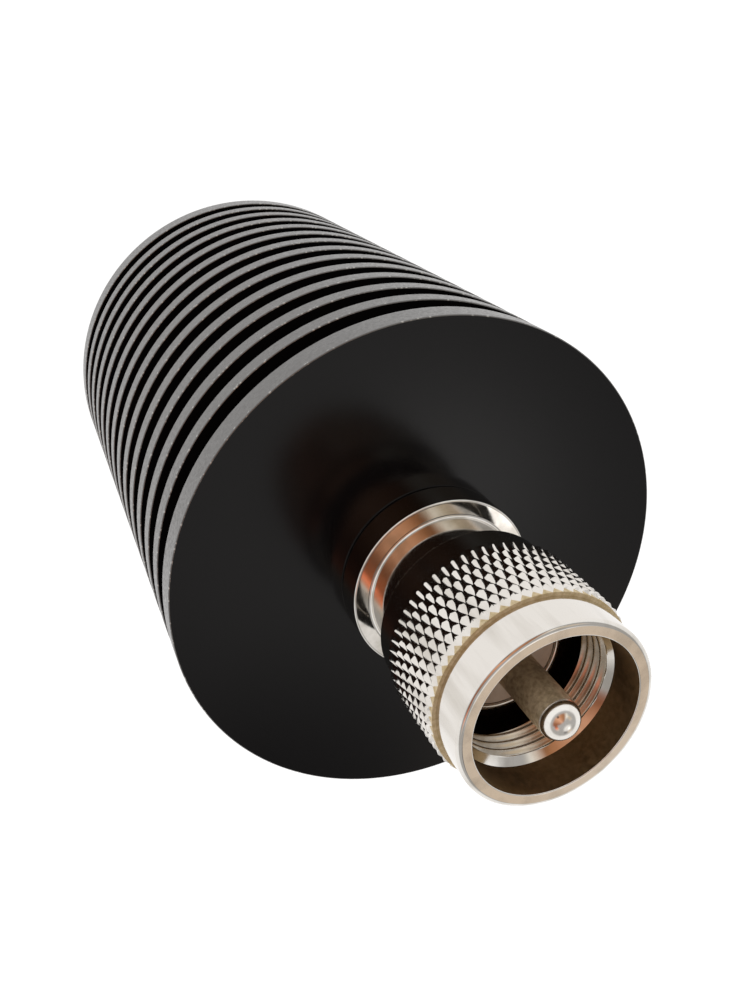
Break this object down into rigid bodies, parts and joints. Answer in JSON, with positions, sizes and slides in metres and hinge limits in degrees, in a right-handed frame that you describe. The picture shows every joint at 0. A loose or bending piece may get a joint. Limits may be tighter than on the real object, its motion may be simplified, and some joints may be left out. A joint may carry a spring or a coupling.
{
  "type": "rf dummy load",
  "caption": "Coaxial dummy load: a black finned cylindrical heat sink with a plated screw-on plug, knurled coupling nut and centre pin on its front plate.",
  "frame": {"origin": "centre of the rear plate's flat face, on which the load stands", "axes": "+Z along the plug's axis, from the rear plate towards the plug; +X and +Y across the fins"},
  "size_m": [0.056, 0.056, 0.1007],
  "materials": {
    "black_anodised": "turned aluminium, black anodised, satin",
    "nickel_plate": "turned brass with bright nickel plate",
    "pin_plate": "brass pin with dull silver plate",
    "cap_plate": "brass cap with tin plate",
    "ring_brass": "spring bronze wire",
    "phenolic": "glossy grey-brown phenolic moulding",
    "ptfe": "white turned fluoropolymer",
    "alumina": "fired white ceramic",
    "resistor_glaze": "ceramic with dark resistive film",
    "spring_steel": "rolled spring steel"
  },
  "bodies": {
    "load": {"heat_sink": "black_anodised", "ceramic_liner": "alumina", "resistor_tube": "resistor_glaze", "input_cap": "cap_plate", "ground_cap": "cap_plate", "spring_washers": "spring_steel", "plug_body": "nickel_plate", "mating_sleeve": "nickel_plate", "front_insulator": "phenolic", "rear_insulator": "ptfe", "centre_pin": "pin_plate"},
    "ring": {"nut_retaining_ring": "ring_brass"},
    "nut": {"coupling_nut": "nickel_plate"}
  },
  "joints": [
    {"name": "nut_slide", "type": "slide", "parent": "load", "child": "ring", "axis": [0, 0, 1], "range_m": [-0.0021, 0]},
    {"name": "nut_spin", "type": "hinge", "parent": "ring", "child": "nut", "pos_m": [0, 0, 0.0905], "axis": [0, 0, 1], "continuous": true}
  ]
}
